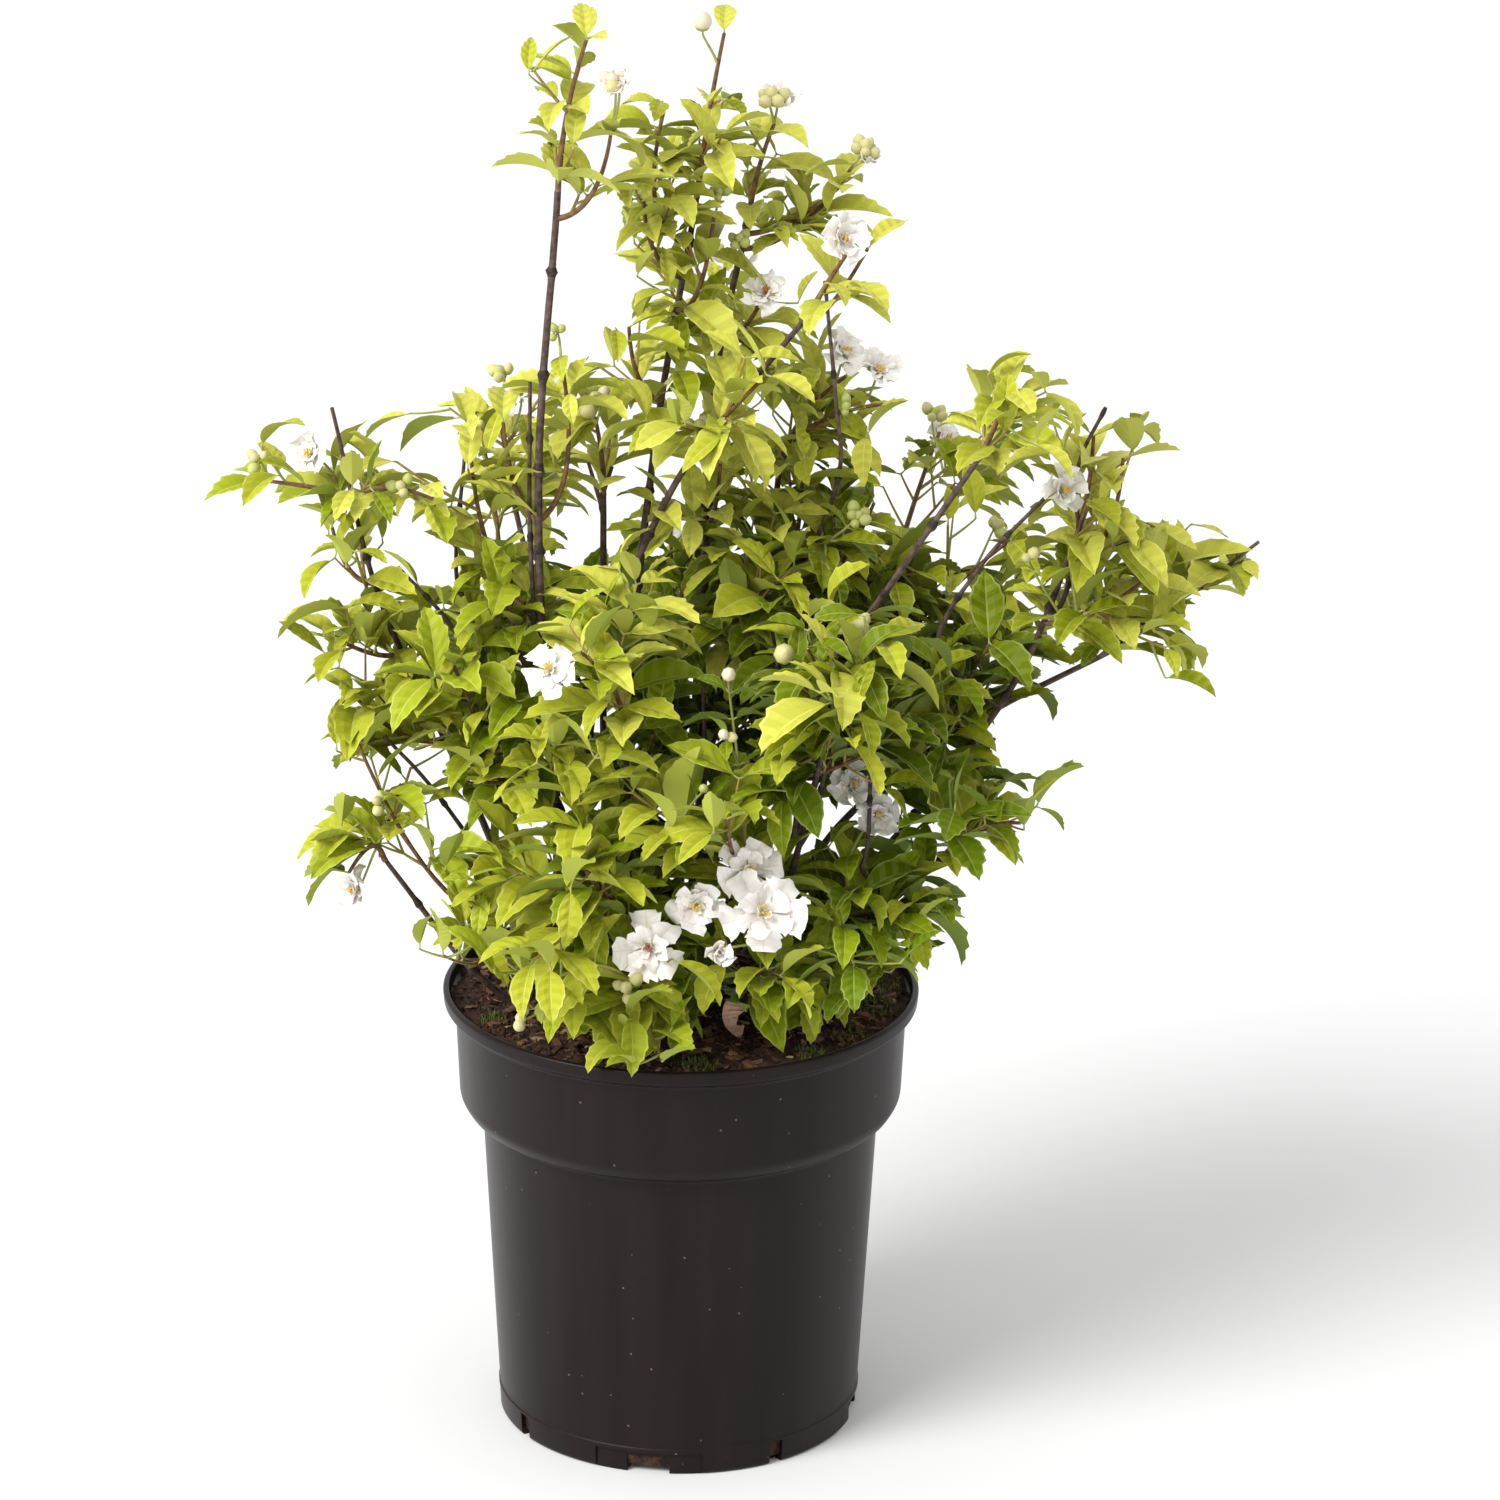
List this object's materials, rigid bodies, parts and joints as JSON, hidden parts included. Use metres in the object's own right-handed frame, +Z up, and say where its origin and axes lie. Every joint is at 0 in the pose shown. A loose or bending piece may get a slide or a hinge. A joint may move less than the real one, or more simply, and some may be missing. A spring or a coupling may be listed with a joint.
{
  "type": "potted flowering shrub",
  "caption": "Mock orange shrub in leaf and flower, many slender stems rising from the compost in a round nursery pot with a stepped rim band.",
  "frame": {"origin": "middle of the pot's flat underside", "axes": "+Z up along the pot's axis, +X to the right and -Y to the front, the side that the longest right-hand boughs are seen from"},
  "size_m": [0.5013, 0.3661, 0.7101],
  "materials": {
    "pot": "satin",
    "compost": "matte",
    "bark": "matte",
    "leaves": "satin",
    "petals": "matte",
    "buds": "matte",
    "stamens": "matte",
    "young_twigs": "satin",
    "bark_chips": "matte",
    "moss": "matte"
  },
  "bodies": {
    "root": {"pot": "pot", "compost": "compost", "stem_tall_left": "bark", "stem_centre_left": "bark", "stem_tall_centre": "bark", "stem_tall_right": "bark", "stem_leaning": "bark", "stem_right_long": "bark", "stem_right_far": "bark", "stem_right_low": "bark", "stem_left_upright": "bark", "stem_left_lowest": "bark", "stem_back_middle": "bark", "stem_back_left": "bark", "stem_back_top": "bark", "stem_back_right": "bark", "stem_front_left": "bark", "stem_front_right": "bark", "stem_low_right": "bark", "shoot_tall_left_top": "leaves", "shoot_tall_left_shoulder": "leaves", "shoot_tall_left_low": "leaves", "shoot_centre_left_top": "leaves", "shoot_tall_centre_top": "leaves", "shoot_tall_centre_upper": "leaves", "shoot_tall_centre_middle": "leaves", "shoot_tall_right_top": "leaves", "shoot_tall_right_arm": "leaves", "shoot_tall_right_middle": "leaves", "shoot_tall_right_low": "leaves", "shoot_leaning_top": "leaves", "shoot_right_long_top": "leaves", "shoot_right_long_low": "leaves", "shoot_right_far_top": "leaves", "shoot_right_far_side": "leaves", "shoot_right_low_top": "leaves", "shoot_right_low_inner": "leaves", "shoot_left_upright_left": "leaves", "shoot_left_upright_right": "leaves", "shoot_left_upright_middle": "leaves", "shoot_left_upright_inner": "leaves", "shoot_left_upright_low": "leaves", "shoot_left_upright_arm": "leaves", "shoot_left_lowest_top": "leaves", "shoot_left_lowest_inner": "leaves", "shoot_back_middle_top": "leaves", "shoot_back_middle_right": "leaves", "shoot_back_left_top": "leaves", "shoot_back_left_low": "leaves", "shoot_back_top_top": "leaves", "shoot_back_top_low": "leaves", "shoot_back_right_top": "leaves", "shoot_back_right_low": "leaves", "shoot_front_left_top": "leaves", "shoot_front_left_side": "leaves", "shoot_front_left_low": "leaves", "shoot_front_right_top": "leaves", "shoot_front_right_side": "leaves", "shoot_front_right_low": "leaves", "shoot_low_right_top": "leaves"}
  },
  "joints": []
}
